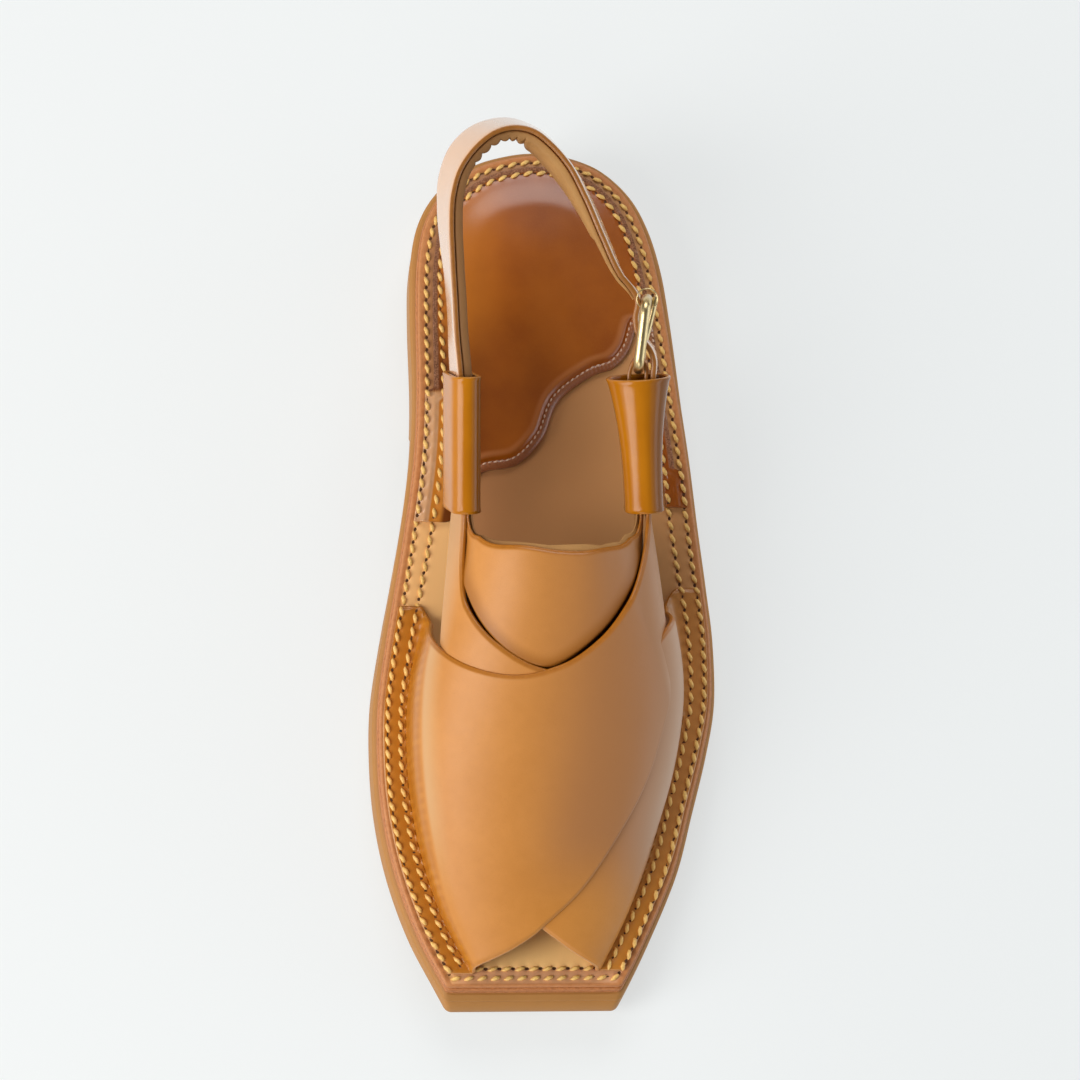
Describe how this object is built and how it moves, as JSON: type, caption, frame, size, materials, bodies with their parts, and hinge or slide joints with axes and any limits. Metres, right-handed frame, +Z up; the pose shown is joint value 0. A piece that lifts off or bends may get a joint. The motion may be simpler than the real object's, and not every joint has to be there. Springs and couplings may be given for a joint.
{
  "type": "kaptan chappal sandal",
  "caption": "Flat square-toed leather sandal for the left foot with a crossed vamp, an instep band, leather sleeves and a buckled heel strap",
  "frame": {"origin": "centre of the bounding box in plan, on the ground under the sole", "axes": "+X to the lateral side of the left foot, -Y to the toe and +Y to the heel, +Z up"},
  "size_m": [0.1154, 0.289, 0.095],
  "materials": {
    "outsole": "matte khaki-brown moulded rubber",
    "midsole": "cut leather edge, reddish, lightly burnished",
    "insole": "smooth tan leather, satin",
    "heel_cover": "padded cognac leather, glossy",
    "upper": "full-grain honey-tan leather, satin",
    "keepers": "polished orange-brown leather",
    "heel_strap": "polished honey-tan leather",
    "strap_lining": "soft khaki lining leather, puckered",
    "buckle_loop": "honey-tan leather strip",
    "buckle": "polished pale brass wire"
  },
  "bodies": {
    "root": {"outsole": "outsole", "midsole": "midsole", "insole": "insole", "heel_cover": "heel_cover", "upper": "upper", "keeper_medial": "keepers", "keeper_lateral": "keepers", "heel_strap": "heel_strap", "heel_strap_lining": "strap_lining", "buckle_frame": "buckle", "buckle_prong": "buckle", "buckle_loop": "buckle_loop"}
  },
  "joints": []
}
